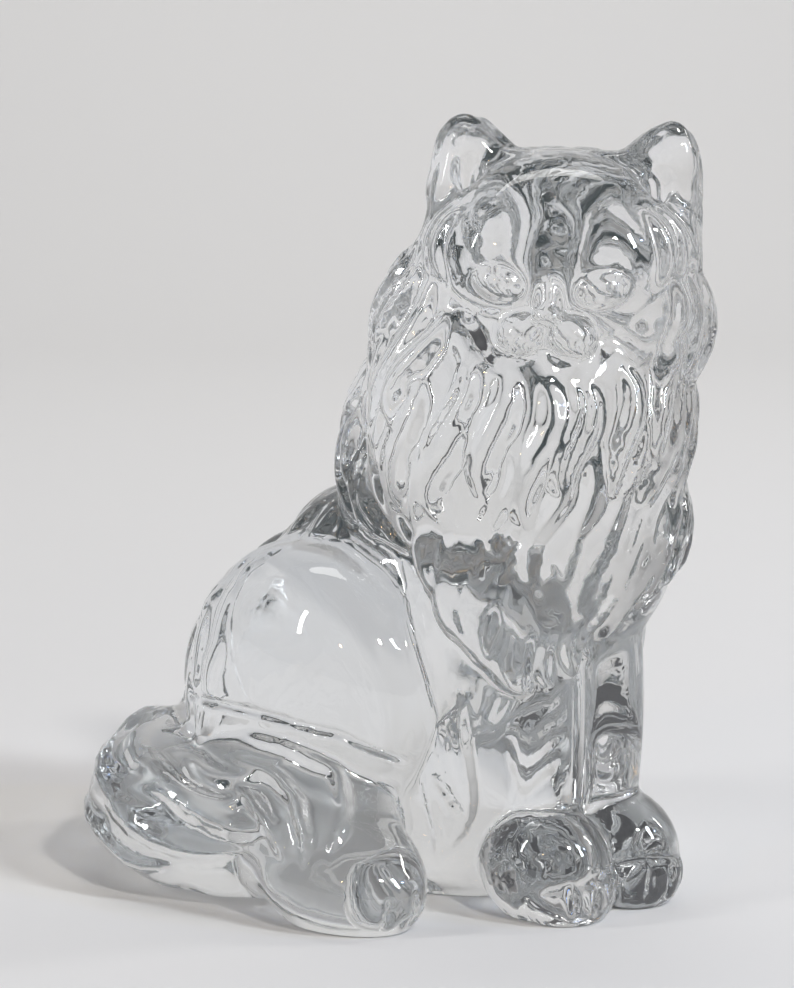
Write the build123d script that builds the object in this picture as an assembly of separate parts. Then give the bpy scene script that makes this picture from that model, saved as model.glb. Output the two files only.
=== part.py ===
"""Sitting long-haired cat, one solid piece of pressed lead crystal with a ground flat base.

Units are millimetres. +Z is up, the body faces -Y and the cat's left is +X. The origin is
the middle of the base. Every form below overlaps its neighbours, and they are fused into
one piece, as the glass is pressed in one shot.
"""
import os
from math import cos, radians, sin, sqrt

from build123d import *

# Driving dimensions
HEIGHT = 130.0            # base to the tips of the ears
BODY_X = 7.5              # the body's midline, pushed off centre by the tail on its right
CHEST_Y = -27.0           # middle of the chest and the ruff
RUMP_Y = 14.0             # middle of the rump
FACE_TURN = -50.0         # the head looks over the cat's right shoulder
FACE_ROLL = 3.0           # and tips a little towards its left ear
STANCE = 14.0             # spacing of the two forelegs
PAW_HALF_WIDTH = 9.6      # a fore paw, across
PAW_HEIGHT = 18.8         # a fore paw, above the base
RIGHT_SPREAD = 34.0       # how far each hind paw stands from the midline
LEFT_SPREAD = 24.5
TAIL_REACH = (34.0, 25.0)  # half-axes of the curl the tail lies along

# Sizes worked out from them
FACE_Z = 0.792 * HEIGHT
RUFF_Z = 0.615 * HEIGHT
MANE_Z = 0.477 * HEIGHT
HIP_X = BODY_X - 2.5
HEAD_AT = (BODY_X + 0.9, CHEST_Y - 4, FACE_Z)


def mass(centre, radii, turn=(0, 0, 0)):
    """An ellipsoid with the given half-axes, turned about X, then Y, then Z in degrees."""
    ball = scale(Sphere(1), by=radii)
    turned = Rot(0, 0, turn[2]) * Rot(0, turn[1], 0) * Rot(turn[0], 0, 0)
    return Pos(*centre) * turned * ball


def torso():
    """Rump, belly, sloping back, chest, tail root and the low foot that joins them."""
    return [
        mass((BODY_X - 2, RUMP_Y, 27), (29, 29, 32)),
        mass((BODY_X - 2, RUMP_Y - 10, 40), (24, 24, 28)),
        mass((BODY_X - 3, RUMP_Y - 22, 28), (20, 30, 34)),
        mass((BODY_X - 1, RUMP_Y - 23, 47), (21, 21, 27), (-34, 0, 0)),
        mass((BODY_X, CHEST_Y + 5, 57), (20, 18, 29), (6, 0, 0)),
        mass((BODY_X + 1.2, CHEST_Y - 5, 28), (8, 5.5, 33)),
        mass((BODY_X - 6, RUMP_Y - 2, 0), (28, 28, 9)),
        mass((BODY_X - 6, RUMP_Y + 20, 23), (15, 13, 15)),
    ]


def ruff():
    """The thick mane: a wide collar round the neck that hangs down over the chest."""
    return [
        mass((BODY_X, CHEST_Y, RUFF_Z), (26, 24, 25)),
        mass((BODY_X + 2.5, CHEST_Y + 0.5, MANE_Z), (23.5, 22, 25)),
        mass((BODY_X + 2, CHEST_Y + 7, RUFF_Z + 8), (23, 19, 27), (-14, 0, 0)),
        mass((BODY_X, CHEST_Y + 16, RUFF_Z - 12), (20, 17, 26), (-20, 0, 0)),
    ]


def mane_locks():
    """Staggered rows of locks that stand proud of the ruff, shingled from the chin down."""
    # Each row: height, half width, half depth, count, half length, inward tilt.
    rows = [
        (RUFF_Z - 1, 25.0, 23.0, 9, 10.5, 0),
        (RUFF_Z - 11, 24.5, 22.0, 8, 10.5, 6),
        (MANE_Z + 2, 22.5, 21.0, 7, 10.5, 10),
        (MANE_Z - 10, 19.5, 18.5, 6, 9.5, 20),
        (MANE_Z - 18, 13.0, 15.0, 3, 8.5, 26),
    ]
    locks = []
    for height, half_width, half_depth, count, length, tilt in rows:
        for index in range(count):
            bearing = -170 + 150 * (index + 0.5) / count
            x = BODY_X + 1.5 + half_width * cos(radians(bearing))
            y = CHEST_Y + half_depth * sin(radians(bearing))
            locks.append(mass((x, y, height), (4.2, 2.8, length), (tilt, 0, 90 + bearing)))
    return locks


def head():
    """Broad flat-faced head with full cheeks, short nose, almond eyes and small ears."""
    forms = [
        mass((0, 2, 2.5), (22, 20, 19)),
        mass((0, -4.2, 4), (13, 14.2, 13)),
        mass((0, -11, -12.5), (9.5, 8, 5.5)),
        mass((0, -15.8, -1.5), (2.4, 3.8, 4.6), (-14, 0, 0)),
        mass((0, -20, -3.6), (2.3, 1.5, 1.3)),
        mass((0, -15, -12.4), (5.2, 4.6, 3.0)),
    ]
    for side in (-1, 1):
        forms += [
            mass((side * 12.4, 2, -5), (12, 14, 14)),
            mass((side * 7, -3.6, 4), (13, 14, 12.5)),
            mass((side * 3.8, -17.2, -7), (4.2, 4.2, 3.4), (0, side * 14, 0)),
            mass((side * 8.2, -16, 0.8), (4.3, 3.2, 2.9), (0, side * -12, side * 16)),
            mass((side * 13.2, 3, 13), (8.6, 4.9, 8)),
            mass((side * 15.4, 3, 17.4), (5.8, 4.4, 7.6), (0, side * 8, 0)),
            mass((side * 16.8, 3, 21), (4.3, 3.5, 5.4), (0, side * 6, 0)),
            mass((side * 16, 3, 5), (5.3, 7.5, 14), (0, side * 2, 0)),
        ]
        for step in range(4):
            fall_at = (side * (18.5 - 2.4 * step), -5 - 2.2 * step, -6 - 2.6 * step)
            forms.append(mass(fall_at, (3.4, 3.0, 9.5), (0, side * (14 - 14 * step), 0)))
    place = Pos(*HEAD_AT) * Rot(0, 0, FACE_TURN) * Rot(0, FACE_ROLL, 0)
    return [place * form for form in forms]


def foreleg(side):
    """A straight foreleg from the shoulder to its broad round paw."""
    leg_x = BODY_X + 1.2 + side * STANCE / 2
    paw_x = leg_x - 0.4 + side * 0.9
    half_height = PAW_HEIGHT - 8
    return [
        mass((leg_x - 1.2 + side * 6, CHEST_Y + 2, 44), (10, 12, 18), (4, 0, 0)),
        mass((leg_x, CHEST_Y - 8, 30), (6.3, 7.3, 32), (2, 0, 0)),
        mass((paw_x, CHEST_Y - 9.5, 8), (PAW_HALF_WIDTH, 12.5, half_height), (0, 0, side * 6)),
        mass((paw_x, CHEST_Y - 14.5, 5), (PAW_HALF_WIDTH - 1, 8.5, 7.2), (0, 0, side * 6)),
    ]


def hind_leg(side, spread):
    """The folded hind leg: round thigh, long lower leg along the base and forward paw."""
    return [
        mass((HIP_X + side * 0.56 * spread, 0, 36), (15.5, 25, 22), (18, side * 10, side * 6)),
        mass((HIP_X + side * 0.50 * spread, 8, 32), (17, 24, 26), (20, 0, 0)),
        mass((HIP_X + side * 0.82 * spread, -1, 14), (12.5, 24, 14), (9, 0, 0)),
        mass((HIP_X + side * 0.93 * spread, -12, 10), (11.5, 21, 11.5), (14, 0, side * -8)),
        mass((HIP_X + side * 0.97 * spread, -18.5, 6.5), (10.5, 15.5, 9.5), (6, 0, side * -12)),
    ]


def toe_grooves(paw_x, paw_y, half_width, half_length, turn):
    """Three short upright grooves that part the toes at the front of a paw."""
    grooves = []
    for share in (-0.48, 0.0, 0.48):
        groove_at = (share * half_width, 0.3 - half_length * sqrt(1 - share ** 2), 3.7)
        groove = mass(groove_at, (0.6, 2.4, 4.9), (-12, 0, share * 45))
        grooves.append(Pos(paw_x, paw_y, 0) * Rot(0, 0, turn) * groove)
    return grooves


def tail():
    """The thick tail curls from the rump round the right side and ends by the hind paw."""
    middle_x = BODY_X - 6.0
    middle_y = RUMP_Y + 1.0
    # Bearing of each tuft about the middle of the curl, and how thick it is.
    tufts = [(96, 12.5), (126, 13.0), (152, 12.6), (176, 11.8), (197, 11.0), (214, 9.4)]
    forms = []
    for bearing, thick in tufts:
        x = middle_x + TAIL_REACH[0] * cos(radians(bearing))
        y = middle_y + TAIL_REACH[1] * sin(radians(bearing))
        forms.append(mass((x, y, thick - 0.3), (thick, 15.5, thick), (0, 0, bearing - 6)))
    return forms


def crystal_cat():
    """All forms fused, toes parted, cut flat at the base and centred on the origin."""
    forms = torso() + ruff() + mane_locks() + head() + tail()
    grooves = []
    for side, spread in ((-1, RIGHT_SPREAD), (1, LEFT_SPREAD)):
        forms += foreleg(side) + hind_leg(side, spread)
        fore_x = BODY_X + 0.8 + side * (STANCE / 2 + 0.9)
        grooves += toe_grooves(fore_x, CHEST_Y - 14.5, PAW_HALF_WIDTH - 1, 8.5, side * 6)
        grooves += toe_grooves(HIP_X + side * 0.97 * spread, -18.5, 10, 15.2, side * -12)
    cat = forms[0].fuse(*forms[1:])
    cat = cat.cut(*grooves)
    cat = cat - Pos(0, 0, -50) * Box(300, 300, 100)
    box = cat.bounding_box()
    return Pos(-box.center().X, -box.center().Y, 0) * cat


os.makedirs("parts", exist_ok=True)
export_step(crystal_cat(), "parts/crystal_cat.step")
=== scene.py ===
from math import cos, pi, radians, sin, sqrt
from random import Random

import bpy
from mathutils import Euler, Matrix, Vector
from mathutils.bvhtree import BVHTree


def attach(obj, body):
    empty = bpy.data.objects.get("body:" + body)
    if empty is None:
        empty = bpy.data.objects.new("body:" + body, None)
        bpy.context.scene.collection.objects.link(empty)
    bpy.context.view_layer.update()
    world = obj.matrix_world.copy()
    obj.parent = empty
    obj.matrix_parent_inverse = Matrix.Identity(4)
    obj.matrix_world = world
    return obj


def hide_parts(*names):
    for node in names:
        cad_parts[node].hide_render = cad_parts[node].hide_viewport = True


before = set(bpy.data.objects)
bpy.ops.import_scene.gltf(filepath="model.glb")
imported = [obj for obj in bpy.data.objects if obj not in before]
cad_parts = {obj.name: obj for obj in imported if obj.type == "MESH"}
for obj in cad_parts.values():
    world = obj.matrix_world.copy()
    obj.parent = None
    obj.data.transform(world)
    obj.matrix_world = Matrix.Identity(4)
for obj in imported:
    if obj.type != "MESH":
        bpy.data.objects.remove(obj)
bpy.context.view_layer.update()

bpy.ops.object.select_all(action="DESELECT")


# The body. The cat is one gob of clear lead crystal pressed in a mould: a low broad rump, a back
# that slopes up to the neck, folded hind legs and two straight forelegs, all one piece of glass.
MM = 0.001
MIDLINE = 10.1            # the body's middle plane, off the centre because of the tail
CHEST = -27.0             # how far forward the middle of the chest is


def gob(centre, half_axes, turn=(0, 0, 0)):
    """A rounded mass of glass at its place, with its half-axes in millimetres."""
    bpy.ops.object.select_all(action="DESELECT")
    bpy.ops.mesh.primitive_uv_sphere_add(
        segments=40, ring_count=24, radius=1.0, location=[c * MM for c in centre],
        rotation=[radians(t) for t in turn], scale=[h * MM for h in half_axes])
    bpy.ops.object.transform_apply(location=True, rotation=True, scale=True)
    return bpy.context.object


def gather(pieces, name):
    """Join loose masses into one named object."""
    bpy.ops.object.select_all(action="DESELECT")
    for piece in pieces:
        piece.select_set(True)
    bpy.context.view_layer.objects.active = pieces[0]
    bpy.ops.object.join()
    joined = bpy.context.object
    joined.name = name
    return joined


def finish_modifier(piece, kind, **settings):
    """Add one modifier, set it up and apply it at once."""
    bpy.ops.object.select_all(action="DESELECT")
    piece.select_set(True)
    bpy.context.view_layer.objects.active = piece
    bpy.ops.object.modifier_add(type=kind)
    modifier = piece.modifiers[-1]
    for key, value in settings.items():
        setattr(modifier, key, value)
    bpy.ops.object.modifier_apply(modifier=modifier.name)


def melt(piece, voxel, passes):
    """Run touching masses together into one skin, then let it flow smooth."""
    finish_modifier(piece, "REMESH", mode="VOXEL", voxel_size=voxel * MM)
    finish_modifier(piece, "SMOOTH", factor=0.5, iterations=passes)


torso = [
    gob((MIDLINE - 2, 14, 27), (29, 29, 32)),
    gob((MIDLINE - 2, 4, 40), (24, 24, 28)),
    gob((MIDLINE - 3, -8, 28), (20, 30, 34)),
    gob((MIDLINE - 1, -9, 47), (21, 21, 27), (-34, 0, 0)),
    gob((MIDLINE, CHEST + 5, 57), (20, 18, 29), (6, 0, 0)),
    gob((MIDLINE + 1.2, CHEST - 5, 28), (8, 5.5, 33)),
    gob((MIDLINE - 6, 12, 0), (28, 28, 9)),
    gob((MIDLINE - 6, 34, 23), (15, 13, 15)),
]
neck = [
    gob((MIDLINE, CHEST, 80), (26, 24, 25)),
    gob((MIDLINE + 2.5, CHEST + 0.5, 62), (23.5, 22, 25)),
    gob((MIDLINE + 2, CHEST + 7, 88), (23, 19, 27), (-14, 0, 0)),
    gob((MIDLINE, CHEST + 16, 68), (20, 17, 26), (-20, 0, 0)),
]
shoulders = []
forelegs = []
for side in (-1, 1):
    leg_x = MIDLINE + 1.2 + side * 7
    shoulders.append(gob((leg_x - 1.2 + side * 6, CHEST + 2, 44), (10, 12, 18), (4, 0, 0)))
    forelegs.append(gob((leg_x, CHEST - 8, 30), (6.3, 7.3, 32), (2, 0, 0)))

HIPS = MIDLINE - 2.5                       # the middle between the hind legs
HIND_SPREADS = ((-1, 34.0), (1, 24.5))     # each side, and how far out its hind paw lies
HIND_PAW_SHARE = 0.97                      # of the spread, where the paw's middle is
HIND_PAW_TURN = -12                        # degrees outwards, so the hind paws point in
hind_legs = []
for side, spread in HIND_SPREADS:
    paw_x = HIPS + side * HIND_PAW_SHARE * spread
    hind_legs += [
        gob((HIPS + side * 0.56 * spread, 0, 36), (15.5, 25, 22), (18, side * 10, side * 6)),
        gob((HIPS + side * 0.50 * spread, 8, 32), (17, 24, 26), (20, 0, 0)),
        gob((HIPS + side * 0.82 * spread, -1, 14), (12.5, 24, 14), (9, 0, 0)),
        gob((HIPS + side * 0.93 * spread, -12, 10), (11.5, 21, 11.5), (14, 0, side * -8)),
        gob((paw_x, -18.5, 6.5), (10.5, 15.5, 9.5), (6, 0, side * HIND_PAW_TURN)),
    ]


# The head. Broad and flat-faced, turned over the right shoulder: a round skull and full cheeks
# that run into the mane. The ears are low and wide, and stand on it with a clearer edge.
FACE_TURN = -50.0
FACE_ROLL = 3.0
HEAD_AT = Vector((11.0, -31.0, 103.0)) * MM
head_turn = Euler((0, radians(FACE_ROLL), radians(FACE_TURN))).to_matrix().to_4x4()
head_place = Matrix.Translation(HEAD_AT) @ head_turn


def set_on_neck(pieces, name):
    """Join pieces modelled round the head's own middle and turn them to where it looks."""
    joined = gather(pieces, name)
    joined.matrix_world = head_place
    bpy.ops.object.select_all(action="DESELECT")
    joined.select_set(True)
    bpy.ops.object.transform_apply(location=True, rotation=True, scale=True)
    return joined


skull_parts = [
    gob((0, 2, 2.5), (22, 20, 19)),
    gob((0, -4.2, 4), (13, 14.2, 13)),
    gob((0, -11, -12.5), (9.5, 8, 5.5)),
]
ear_parts = []
for side in (-1, 1):
    skull_parts += [
        gob((side * 12.4, 2, -5), (12, 14, 14)),
        gob((side * 7, -3.6, 4), (13, 14, 12.5)),
    ]
    ear_parts += [
        gob((side * 13.2, 4, 13), (8.6, 7.4, 8)),
        gob((side * 15.4, 4, 17.4), (5.8, 6, 7.6), (0, side * 8, 0)),
        gob((side * 16.8, 3, 21), (4.3, 3.5, 5.4), (0, side * 6, 0)),
        gob((side * 16, 3, 5), (5.3, 7.5, 14), (0, side * 2, 0)),
    ]
skull = set_on_neck(skull_parts, "skull")
melt(skull, 1.0, 24)
ears = set_on_neck(ear_parts, "ears")


# The tail. About twice as thick as a foreleg, it curls from the rump round the cat's right side
# and ends beside the hind paw. It is the same glass as the body, and its underside is the base.
CURL_X = MIDLINE - 6
CURL_Y = 15
CURL_REACH_X = 34.0
CURL_REACH_Y = 25
TAIL_TUFTS = [(96, 12.5), (126, 13.0), (152, 12.6), (176, 11.8), (197, 11.0), (214, 9.4)]


def along_curl(angle):
    """The place on the tail's middle line at an angle round the middle of its curl."""
    return CURL_X + CURL_REACH_X * cos(angle), CURL_Y + CURL_REACH_Y * sin(angle)


tail = []
for bearing, thick in TAIL_TUFTS:
    tuft_x, tuft_y = along_curl(radians(bearing))
    tail.append(gob((tuft_x, tuft_y, thick - 0.3), (thick, 15.5, thick), (0, 0, bearing - 6)))

coat = gather(torso + neck + shoulders + forelegs + hind_legs + tail + [skull, ears], "coat")
melt(coat, 1.0, 10)
skin = BVHTree.FromObject(coat, bpy.context.evaluated_depsgraph_get())


# The mane. Long leaf-shaped locks of hair are cut into the mould, so they stand out of the glass
# as smooth ridges. Their rows start under the chin, rise towards the back of the neck, and
# draw in to a point between the forelegs, a little to the cat's right.
LOCK_RINGS = 14
bpy.ops.object.select_all(action="DESELECT")
bpy.ops.mesh.primitive_uv_sphere_add(segments=16, ring_count=LOCK_RINGS, radius=1.0)
lock_blank = bpy.context.object
lock_blank.name = "lock_blank"


def facing(bearing):
    """The level direction at a bearing in degrees: 0 is ahead of the cat, 90 is its left."""
    return Vector((sin(radians(bearing)), -cos(radians(bearing)), 0))


def touch(start, direction):
    """Where a straight feeler from outside first meets the skin, and the skin's slope there."""
    spot, slope, _, _ = skin.ray_cast(start, direction.normalized())
    return (spot, slope) if spot else None


def leaf(s):
    """A lock's fullness at s along it: round at the root, 0, and drawn out at the tip, 1."""
    return 1.95 * max(s, 0.0) ** 0.5 * max(1 - s, 0.0) ** 0.7


PARTING_REACH = 0.34      # how far across a lock its parting goes, as a share of the half-width


def lay_lock(feeler, half_width, thickness, root, tip, parting=0.0, longest_step=4.5):
    """Lay one lock along the skin, or none where the feeler misses it or jumps off a part.

    feeler(s) gives the contact at s along the lock. root and tip are how far the lock's middle
    stands out of the skin at its two ends, and parting is how deep a groove runs along it.
    """
    contacts = [feeler(i / LOCK_RINGS) for i in range(LOCK_RINGS + 1)]
    if any(contact is None for contact in contacts):
        return None
    spots = [contact[0] for contact in contacts]
    slopes = []
    for i in range(LOCK_RINGS + 1):
        near = contacts[max(0, i - 2):i + 3]
        slopes.append(sum((contact[1] for contact in near), Vector()).normalized())
    strides = [(spots[i + 1] - spots[i]).length for i in range(LOCK_RINGS)]
    if max(strides) > longest_step * MM:
        return None
    lock = lock_blank.copy()
    lock.data = lock_blank.data.copy()
    bpy.context.collection.objects.link(lock)
    for vertex in lock.data.vertices:
        s = (1 - vertex.co.z) / 2
        step = min(LOCK_RINGS - 1, int(s * LOCK_RINGS))
        blend = s * LOCK_RINGS - step
        spot = spots[step].lerp(spots[step + 1], blend)
        slope = slopes[step].lerp(slopes[step + 1], blend).normalized()
        along = (spots[step + 1] - spots[step]).normalized()
        across = slope.cross(along).normalized()
        fullness = leaf(s)
        ring = sqrt(max(1e-9, 1 - vertex.co.z ** 2))
        side_share = vertex.co.x / ring
        out_share = vertex.co.y / ring
        sink = root + (tip - root) * s
        if out_share > 0:
            out_share -= parting * max(0.0, 1 - (side_share / PARTING_REACH) ** 2)
        vertex.co = (spot + across * (side_share * half_width * fullness * MM)
                     + slope * ((out_share * thickness * fullness ** 0.8 + sink) * MM))
    return lock


MANE_FACES = -42.0        # the bearing of the mane's front
MANE_AXIS = Vector((MIDLINE + 1, CHEST + 3, 0)) * MM
CLEAR_OF_MANE = 90        # how far out of the mane its feelers start
SHORTEST_LOCK = 11


def mane_feeler(bearing, top, length, bow, wave, gather_in):
    """A feeler down the mane, bowed and waved sideways, that draws in to the mane's front."""
    def feel(s):
        swing = bearing * (1 - gather_in * s) + bow * sin(pi * s) + wave * sin(2 * pi * s)
        out = facing(MANE_FACES + swing)
        level = Vector((0, 0, (top - length * s) * MM))
        return touch(MANE_AXIS + level + out * (CLEAR_OF_MANE * MM), -out)
    return feel


def collar_line(bearing):
    """Height of the line round the face where the mane starts: a V up from the chin."""
    away = abs(bearing)
    if away < 72:
        return 88.5 + 19 * (away / 72) ** 1.35
    return 107.5 + 8 * (away - 72) / 108


def hem_line(bearing):
    """Height of the mane's lower edge: it rises to both sides, most on the cat's right."""
    on_right = bearing < 0
    away = min(1.0, abs(bearing) / (62 if on_right else 75)) ** 1.3
    return 35 + (24 if on_right else 18) * away


dice = Random(7)
locks = []
# Each tier: drop below the collar line, locks in a full ring, length, half-width, gathering in.
MANE_TIERS = [
    (-1.0, 24, 26, 3.3, 0.00),
    (8.0, 23, 28, 3.5, 0.07),
    (17.0, 21, 29, 3.7, 0.16),
    (27.0, 18, 28, 4.0, 0.27),
]
for tier, (drop, count, reach_down, half_width, gather_in) in enumerate(MANE_TIERS):
    for index in range(count):
        bearing = -180 + 360 * (index + 0.5 * (tier % 2)) / count + dice.uniform(-2.5, 2.5)
        top = collar_line(bearing) - drop + dice.uniform(-1.5, 1.5)
        length = min(reach_down + dice.uniform(-5, 4), top - hem_line(bearing))
        if length < SHORTEST_LOCK:
            continue
        bow = 6.0 * max(-1.0, min(1.0, bearing / 40)) + dice.uniform(-2, 2)
        feeler = mane_feeler(bearing, top, length, bow, dice.uniform(4.0, 7.5), gather_in)
        thickness = 3.6 + 1.2 * min(1.0, max(0.0, -bearing / 40))
        locks.append(lay_lock(feeler, half_width * dice.uniform(0.65, 1.35), thickness,
                              root=-2.2, tip=0.6, parting=0.5 if index % 3 == 1 else 0.0))

# Three broad smooth locks close the mane's hem towards the right shoulder.
for bearing, top, length, half_width in ((-36, 69, 23, 4.8), (-20, 65, 24, 5.4), (-4, 58, 21, 4.6)):
    feeler = mane_feeler(bearing, top, length, bow=-2.0, wave=3.0, gather_in=0.2)
    locks.append(lay_lock(feeler, half_width, 4.6, root=-2.0, tip=0.2))


# The hair of the head. The back of the head carries flatter locks of glass, combed down from the
# crown in three rows, and fuller ones hang over the cheeks behind the face.
CLEAR_OF_HEAD = 70


def head_feeler(turn, lift_from, lift_to, twist):
    """A feeler down the head at a turn from the face, from one lift in degrees to another."""
    def feel(s):
        lift = radians(lift_from + (lift_to - lift_from) * s)
        out = facing(FACE_TURN + turn + twist * sin(pi * s))
        out = out * cos(lift) + Vector((0, 0, sin(lift)))
        return touch(HEAD_AT + out * (CLEAR_OF_HEAD * MM), -out)
    return feel


for lift_from, lift_to, count in ((80, 48, 9), (56, 26, 14), (34, 4, 16)):
    for index in range(count):
        turn = 180 + (index - (count - 1) / 2) * (200 / count) + dice.uniform(-3, 3)
        feeler = head_feeler(turn, lift_from, lift_to, dice.uniform(-6, 6))
        locks.append(lay_lock(feeler, 2.9, 2.0, root=-1.3, tip=0.3))
for side in (-1, 1):
    for turn in (56, 68, 80, 92):
        for lift_from, lift_to, shift in ((38, 2, 0), (10, -26, 6)):
            feeler = head_feeler(side * (turn + shift), lift_from, lift_to, side * dice.uniform(4, 9))
            locks.append(lay_lock(feeler, 2.9, 2.4, root=-1.3, tip=0.3))


# The hair of the back. Low ridges of the same glass run down from the mane on both sides of
# the spine and over the rump, in five rows set like roof tiles.
BACK_AXIS = Vector((MIDLINE - 2, 0, 0)) * MM
BACK_SLANT = 0.55         # how steeply the feelers come down on the back
BACK_AIM_DROP = 14        # so they aim this far below the place that they touch
CLEAR_OF_BACK = 120


def back_feeler(bearing, top, length, wave):
    """A feeler down the back that reaches in from behind and a little above."""
    def feel(s):
        out = facing(bearing + wave * sin(2 * pi * s))
        slant = (out + Vector((0, 0, BACK_SLANT))).normalized()
        level = Vector((0, 0, (top - length * s - BACK_AIM_DROP) * MM))
        return touch(BACK_AXIS + level + slant * (CLEAR_OF_BACK * MM), -slant)
    return feel


for row in range(5):
    for index in range(11):
        bearing = 180 + (index - 5 + 0.5 * (row % 2)) * 13 + dice.uniform(-3, 3)
        top = 78 - 11.5 * row + dice.uniform(-1.5, 1.5)
        feeler = back_feeler(bearing, top, dice.uniform(17, 21), dice.uniform(-5, 5))
        locks.append(lay_lock(feeler, 3.6, 1.5, root=-1.1, tip=0.1))


# The hair of the tail. Its locks lie along the curl in overlapping bands, each a slow S, and
# stop short of the tail's tip, which the mould leaves smooth.
CLEAR_OF_TAIL = 35
TAIL_MIDDLE_HEIGHT = 11.5


def tail_feeler(bearing_from, bearing_to, lift_from, lift_to):
    """A feeler along the tail that also winds round it, from one lift in degrees to another."""
    def feel(s):
        angle = radians(bearing_from + (bearing_to - bearing_from) * s)
        lift = radians(lift_from + (lift_to - lift_from) * s + 10 * sin(2 * pi * s))
        middle = Vector((*along_curl(angle), TAIL_MIDDLE_HEIGHT)) * MM
        level_out = Vector((cos(angle) / CURL_REACH_X, sin(angle) / CURL_REACH_Y, 0)).normalized()
        out = level_out * cos(lift) + Vector((0, 0, sin(lift)))
        return touch(middle + out * (CLEAR_OF_TAIL * MM), -out)
    return feel


for band in range(6):
    for index in range(3):
        bearing = 84 + 44 * index + 22 * (band % 2) + dice.uniform(-3, 3)
        lift = -14 + 22 * band + dice.uniform(-3, 3)
        if bearing > 190:
            continue
        feeler = tail_feeler(bearing, min(bearing + 62, 222), lift + 9, lift - 9)
        locks.append(lay_lock(feeler, 3.0, 2.4, root=-1.3, tip=-0.3))


# The hair of the hind legs. Each lower leg has three long ridges of glass along it that hook
# down behind the paw.
FLANK_ASIDE = 20
CLEAR_OF_FLANK = 70


def along_line(points, s):
    """The place at s along a bent line of points."""
    reach = s * (len(points) - 1)
    step = min(len(points) - 2, int(reach))
    share = reach - step
    return [a * (1 - share) + b * share for a, b in zip(points[step], points[step + 1])]


def flank_feeler(side, points):
    """A feeler at the cat's side, along a bent line of (back, up) places."""
    out = Vector((side, -0.35, 0.15)).normalized()

    def feel(s):
        back_place, up = along_line(points, s)
        spot = Vector((HIPS + side * FLANK_ASIDE, back_place, up)) * MM
        return touch(spot + out * (CLEAR_OF_FLANK * MM), -out)
    return feel


SHANK_RIDGES = [
    [(11, 25), (-2, 24.5), (-11, 22), (-16, 16), (-16.5, 8)],
    [(11, 21.5), (0, 20.5), (-7, 17), (-11.5, 11.5), (-12, 6)],
    [(10, 17.5), (2, 16), (-4, 12.5), (-8, 7)],
]
for side in (-1, 1):
    for ridge in SHANK_RIDGES:
        feeler = flank_feeler(side, ridge)
        locks.append(lay_lock(feeler, 1.8, 2.6, root=-0.7, tip=-0.5, longest_step=8.0))


# The fore paws and the fringe. The paws are smooth round cushions of glass, set on the legs
# with a clear edge, and behind each foreleg a fringe of hair runs down the belly to the base.
PAWS = MIDLINE + 0.8                       # the middle between the fore paws
PAW_ASIDE = 7.9
PAW_FRONT = CHEST - 14.5
PAW_TURN = 6                               # degrees outwards
fore_paws = []
for side in (-1, 1):
    paw_x = PAWS + side * PAW_ASIDE
    fore_paws += [
        gob((paw_x, CHEST - 9.5, 8), (9.6, 12.5, 10.8), (0, 0, side * PAW_TURN)),
        gob((paw_x, PAW_FRONT, 5), (8.6, 8.5, 7.2), (0, 0, side * PAW_TURN)),
    ]
CLEAR_OF_FRINGE = 60


def fringe_feeler(side, aside, top, length, bow):
    """A feeler down the belly behind a foreleg, on a slow S."""
    out = Vector((side * 0.7, -0.7, 0.1)).normalized()

    def feel(s):
        lock_x = MIDLINE + side * (aside + bow * sin(2 * pi * s))
        spot = Vector((lock_x, CHEST + 4, top - length * s)) * MM
        return touch(spot + out * (CLEAR_OF_FRINGE * MM), -out)
    return feel


for side in (-1, 1):
    for index in range(5):
        feeler = fringe_feeler(side, aside=12.0 + 2.3 * index, top=38 - 3.5 * index,
                               length=27 - 2.0 * index, bow=dice.uniform(1.0, 2.2))
        locks.append(lay_lock(feeler, 1.7, 2.2, root=-0.9, tip=-0.2))


# The face. Almond eyes, a short nose, two whisker pads and a chin, all low and soft, as the
# mould leaves them. A roll of hair frames it on each side, from beside the eye to the chin.
face_parts = [
    gob((0, -15.8, -1.5), (2.4, 3.8, 4.6), (-14, 0, 0)),
    gob((0, -20, -3.6), (2.3, 1.5, 1.3)),
    gob((0, -15, -12.4), (5.2, 4.6, 3)),
]
for side in (-1, 1):
    face_parts += [
        gob((side * 3.8, -17.2, -7), (4.2, 4.2, 3.4), (0, side * 14, 0)),
        gob((side * 8.2, -16, 0.8), (4.3, 3.2, 2.9), (0, side * -12, side * 16)),
    ]
face = set_on_neck(face_parts, "face")
CLEAR_OF_FACE = 60


def face_feeler(points):
    """A feeler straight at the face, along a bent line of (across, up) places."""
    def feel(s):
        across, up = along_line(points, s)
        start = head_place @ (Vector((across, -CLEAR_OF_FACE, up)) * MM)
        return touch(start, head_place.to_3x3() @ Vector((0, 1, 0)))
    return feel


for side in (-1, 1):
    roll = [(side * 19, 4), (side * 18, -2), (side * 14.5, -8), (side * 9, -12.5), (side * 3, -15.5)]
    locks.append(lay_lock(face_feeler(roll), 4.2, 1.9, root=-1.1, tip=-0.6))

laid_locks = [lock for lock in locks if lock]
crystal = gather([coat] + laid_locks + fore_paws + [face], "crystal_cat_glass")
melt(crystal, 0.5, 1)


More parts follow.
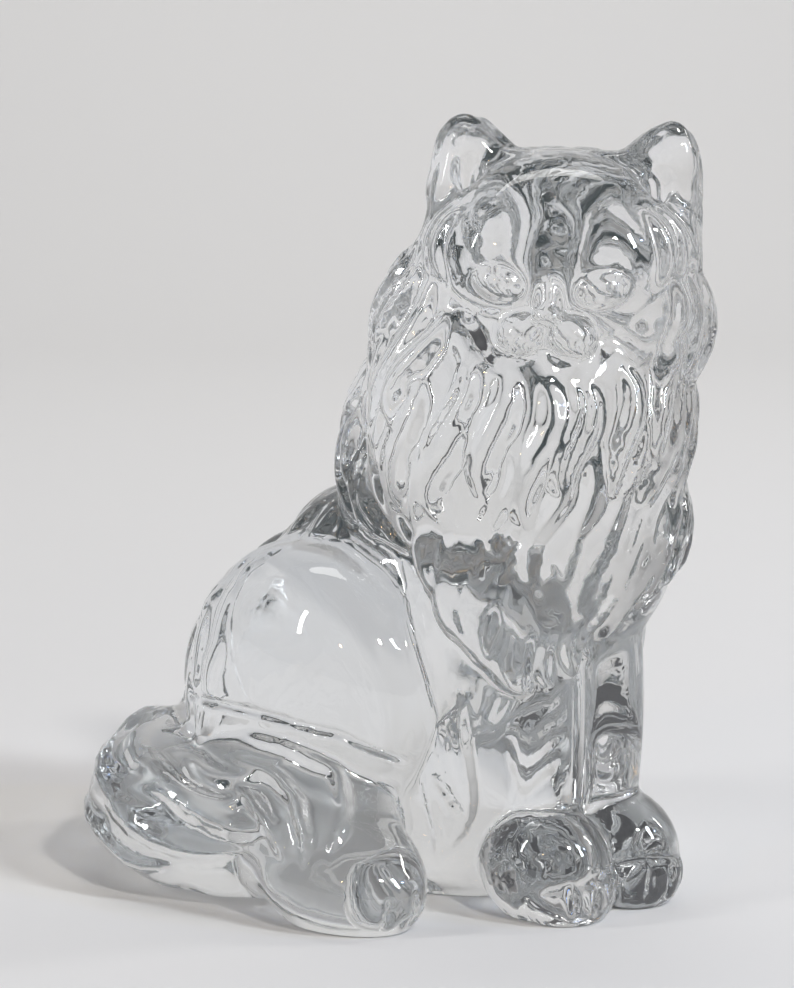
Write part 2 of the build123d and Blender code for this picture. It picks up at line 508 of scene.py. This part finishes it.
# The hollows. Raised fins in the mould leave them in the glass: the ears' fronts, the line from
# the nose round the mouth, the fold under each thigh and the gaps between the toes.
ear_hollows = [
    gob((side * 15.2, -2.2, 16.5), (2.7, 2.3, 4.8), (12, side * 16, 0)) for side in (-1, 1)]
cuts = [set_on_neck(ear_hollows, "ear_hollows")]
skin = BVHTree.FromObject(crystal, bpy.context.evaluated_depsgraph_get())
lip = [(0, -4.8), (0, -6.6), (0, -8.6)]
cuts.append(lay_lock(face_feeler(lip), 0.8, 1.3, root=0.2, tip=0.2))
TOE_GAPS = (-0.48, 0.0, 0.48)              # across a paw, as shares of its half-width
THIGH_FOLD = [(32, 29), (18, 29.5), (4, 29.5), (-12, 28.5), (-24, 24.5), (-30, 17), (-33, 9)]
for side in (-1, 1):
    smile = [(0, -8.2), (side * 2.2, -10.4), (side * 5.2, -10.6), (side * 8.2, -8.6)]
    cuts.append(lay_lock(face_feeler(smile), 0.9, 1.4, root=0.2, tip=0.2))
    fold = flank_feeler(side, THIGH_FOLD)
    cuts.append(lay_lock(fold, 1.0, 1.5, root=0.1, tip=0.1, longest_step=12.0))
cuts = [cut for cut in cuts if cut]


def toe_fin(paw, share, half_width, length, bury, turn, half_axes, lean):
    """A thin fin between two toes, a share of the way out from the middle of a paw's front."""
    toe = Vector((share * half_width, bury - length * sqrt(1 - share ** 2), 0))
    toe.rotate(Euler((0, 0, radians(turn))))
    paw_x, paw_y, paw_z = paw
    return gob((paw_x + toe.x, paw_y + toe.y, paw_z), half_axes, lean)


for side, spread in HIND_SPREADS:
    fore_paw = (PAWS + side * PAW_ASIDE, PAW_FRONT, 3.8)
    fore_turn = side * PAW_TURN
    hind_paw = (HIPS + side * HIND_PAW_SHARE * spread, -18.5, 3.6)
    hind_turn = side * HIND_PAW_TURN
    for share in TOE_GAPS:
        cuts.append(toe_fin(fore_paw, share, half_width=8.6, length=8.5, bury=0.2, turn=fore_turn,
                            half_axes=(0.6, 2.4, 5.2), lean=(-12, 0, share * 50 + fore_turn)))
        cuts.append(toe_fin(hind_paw, share, half_width=10.0, length=15.2, bury=0.4, turn=hind_turn,
                            half_axes=(0.6, 2.6, 4.6), lean=(-14, 0, share * 40 + hind_turn)))
bpy.data.objects.remove(lock_blank)
fins = gather(cuts, "mould_fins")
finish_modifier(fins, "REMESH", mode="VOXEL", voxel_size=0.35 * MM)
finish_modifier(crystal, "BOOLEAN", operation="DIFFERENCE", object=fins, solver="MANIFOLD")
bpy.data.objects.remove(fins)
melt(crystal, 0.5, 5)


# The foot. It is ground flat on a wheel. The finished skin is then carried by fewer, larger faces
# that keep the slopes of the fine ones, so the glass still bends light smoothly.
WHEEL_SIZE = 0.4
TRIANGLE_LIMIT = 192000
bpy.ops.object.select_all(action="DESELECT")
bpy.ops.mesh.primitive_cube_add(size=WHEEL_SIZE, location=(0, 0, -WHEEL_SIZE / 2))
wheel = bpy.context.object
finish_modifier(crystal, "BOOLEAN", operation="DIFFERENCE", object=wheel, solver="MANIFOLD")
bpy.data.objects.remove(wheel)
for polygon in crystal.data.polygons:
    on_foot = polygon.normal.z < -0.99 and abs(polygon.center.z) < 0.01 * MM
    polygon.use_smooth = not on_foot
fine = crystal.copy()
fine.data = crystal.data.copy()
bpy.context.collection.objects.link(fine)
triangles = sum(len(polygon.vertices) - 2 for polygon in crystal.data.polygons)
finish_modifier(crystal, "DECIMATE", ratio=min(1.0, TRIANGLE_LIMIT / triangles))
finish_modifier(crystal, "DATA_TRANSFER", object=fine, use_loop_data=True,
                data_types_loops={"CUSTOM_NORMAL"}, loop_mapping="POLYINTERP_NEAREST")
bpy.data.objects.remove(fine)


# The crystal itself. Lead glass, clear and heavy, fire-polished all over, with the faint wave
# that a pressed surface keeps, and a ground foot that is a little less bright.
glass = bpy.data.materials.new("clear_lead_crystal")
glass.use_nodes = True
nodes = glass.node_tree.nodes
links = glass.node_tree.links
shader = nodes["Principled BSDF"]
shader.inputs["Base Color"].default_value = (1.0, 1.0, 1.0, 1.0)
shader.inputs["Roughness"].default_value = 0.0
shader.inputs["IOR"].default_value = 1.545
shader.inputs["Transmission Weight"].default_value = 1.0
place = nodes.new("ShaderNodeTexCoord")
mould_wave = nodes.new("ShaderNodeTexNoise")
mould_wave.inputs["Scale"].default_value = 160.0
mould_wave.inputs["Detail"].default_value = 2.0
links.new(place.outputs["Object"], mould_wave.inputs["Vector"])
bump = nodes.new("ShaderNodeBump")
bump.inputs["Strength"].default_value = 0.10
bump.inputs["Distance"].default_value = 0.4 * MM
links.new(mould_wave.outputs["Fac"], bump.inputs["Height"])
links.new(bump.outputs["Normal"], shader.inputs["Normal"])
tint = nodes.new("ShaderNodeVolumeAbsorption")
tint.inputs["Color"].default_value = (0.925, 0.935, 0.937, 1.0)
tint.inputs["Density"].default_value = 17.0
links.new(tint.outputs["Volume"], nodes["Material Output"].inputs["Volume"])
ground_foot = glass.copy()
ground_foot.name = "ground_crystal_foot"
ground_foot.node_tree.nodes["Principled BSDF"].inputs["Roughness"].default_value = 0.28
crystal.data.materials.clear()
crystal.data.materials.append(glass)
crystal.data.materials.append(ground_foot)
for polygon in crystal.data.polygons:
    polygon.material_index = 0 if polygon.use_smooth else 1
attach(crystal, "root")
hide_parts("crystal_cat")


# The setting. A pale plastered floor that sweeps up into a pale wall, as in a small studio.
# It lies square to the camera, with its curve well behind the cat.
CAMERA_BEARING = -43.0
FLOOR_SIZE = 4.0
FLOOR_GAP = 0.1 * MM      # the floor lies this far below the foot
SWEEP_START = 0.75
SWEEP_RADIUS = 0.7
WALL_HEIGHT = 1.6
behind = facing(CAMERA_BEARING + 180)
plaster = bpy.data.materials.new("pale_plaster")
plaster.use_nodes = True
paint = plaster.node_tree.nodes["Principled BSDF"]
paint.inputs["Base Color"].default_value = (0.78, 0.77, 0.76, 1.0)
paint.inputs["Roughness"].default_value = 0.9
bpy.ops.mesh.primitive_plane_add(size=FLOOR_SIZE, location=(0, 0, -FLOOR_GAP),
                                 rotation=(0, 0, radians(CAMERA_BEARING)))
sweep = bpy.context.object
sweep.name = "floor_sweep"
bpy.ops.object.transform_apply(location=True, rotation=True, scale=True)
bpy.ops.object.mode_set(mode="EDIT")
bpy.ops.mesh.select_mode(type="EDGE")
bpy.ops.mesh.select_all(action="DESELECT")
bpy.ops.object.mode_set(mode="OBJECT")
for edge in sweep.data.edges:
    ends = [sweep.data.vertices[i].co for i in edge.vertices]
    edge.select = all(end.dot(behind) > FLOOR_SIZE / 2 - 0.1 for end in ends)
bpy.ops.object.mode_set(mode="EDIT")
bpy.ops.transform.translate(value=behind * (SWEEP_START - FLOOR_SIZE / 2))
bpy.ops.mesh.spin(steps=24, angle=radians(-90), axis=facing(CAMERA_BEARING + 90),
                  center=behind * SWEEP_START + Vector((0, 0, SWEEP_RADIUS)))
bpy.ops.mesh.extrude_region_move(TRANSFORM_OT_translate={"value": (0, 0, WALL_HEIGHT)})
bpy.ops.object.mode_set(mode="OBJECT")
bpy.ops.object.shade_smooth()
sweep.data.materials.append(plaster)


# The lights. A small round lamp and a tall window in front make the bright glints, two strips
# edge the sides, two tiny tinted lamps give the colour that crystal throws, and one washes the wall.
CAT_MIDDLE = Vector((0, 0, 60)) * MM


def lamp(name, bearing, height, distance, size, power, colour, tall=None, aim=CAT_MIDDLE):
    """A flat lamp at a bearing round the cat: round, or a rectangle where tall is given."""
    bpy.ops.object.light_add(type="AREA", location=facing(bearing) * distance + Vector((0, 0, height)))
    light = bpy.context.object
    light.name = name
    light.data.energy = power
    light.data.color = colour
    light.data.shape = "RECTANGLE" if tall else "DISK"
    light.data.size = size
    if tall:
        light.data.size_y = tall
    light.rotation_mode = "QUATERNION"
    light.rotation_quaternion = (light.location - aim).to_track_quat("Z", "Y")


lamp("round_lamp", -14, 0.85, 0.85, 0.10, 4.0, (1.0, 0.97, 0.93))
lamp("window", 14, 0.80, 1.10, 0.14, 8.5, (0.88, 0.94, 1.0), tall=0.50)
lamp("cool_glint", 30, 0.60, 0.90, 0.04, 0.9, (0.25, 0.45, 1.0))
lamp("warm_glint", -75, 0.45, 0.80, 0.04, 0.3, (1.0, 0.62, 0.28))
lamp("left_strip", -112, 0.45, 0.75, 0.05, 1.3, (1.0, 1.0, 1.0), tall=0.30)
lamp("right_strip", 58, 0.60, 0.85, 0.05, 1.3, (1.0, 0.98, 0.96), tall=0.30)
foot_of_wall = behind * (SWEEP_START + SWEEP_RADIUS)
lamp("wall_wash", CAMERA_BEARING + 180, 1.15, 0.45, 0.9, 7.6, (1.0, 0.99, 0.97),
     aim=foot_of_wall + Vector((0, 0, 0.35)))

# The room in front of the sweep is dim, so the edges of the glass find something dark to show.
scene = bpy.context.scene
scene.world = bpy.data.worlds.new("room")
scene.world.use_nodes = True
scene.world.node_tree.nodes["Background"].inputs["Color"].default_value = (0.085, 0.085, 0.09, 1.0)


# The camera. It looks a little down at the cat's right front with a long lens, so the face,
# which is turned over that shoulder, is seen almost straight on.
CAMERA_LIFT = 9.0
CAMERA_DISTANCE = 0.62
CAMERA_AIM = Vector((2.0, -2.3, 65.5)) * MM
SENSOR_HEIGHT = 36
VIEW_HEIGHT = 166.05 * MM                  # what the picture takes in at the cat, top to bottom
bpy.ops.object.camera_add()
camera = bpy.context.object
camera.data.sensor_width = SENSOR_HEIGHT
camera.data.clip_start = 0.01
back = facing(CAMERA_BEARING) * cos(radians(CAMERA_LIFT)) + Vector((0, 0, sin(radians(CAMERA_LIFT))))
camera.location = CAMERA_AIM + back * CAMERA_DISTANCE
camera.rotation_mode = "QUATERNION"
camera.rotation_quaternion = back.to_track_quat("Z", "Y")
camera.data.lens = SENSOR_HEIGHT * CAMERA_DISTANCE / VIEW_HEIGHT
scene.camera = camera

# Light crosses many faces inside the glass, so it is followed further than in a plain scene.
scene.cycles.max_bounces = 24
scene.cycles.transmission_bounces = 24
scene.cycles.glossy_bounces = 12
scene.cycles.sample_clamp_indirect = 6.0
scene.view_settings.view_transform = "Standard"
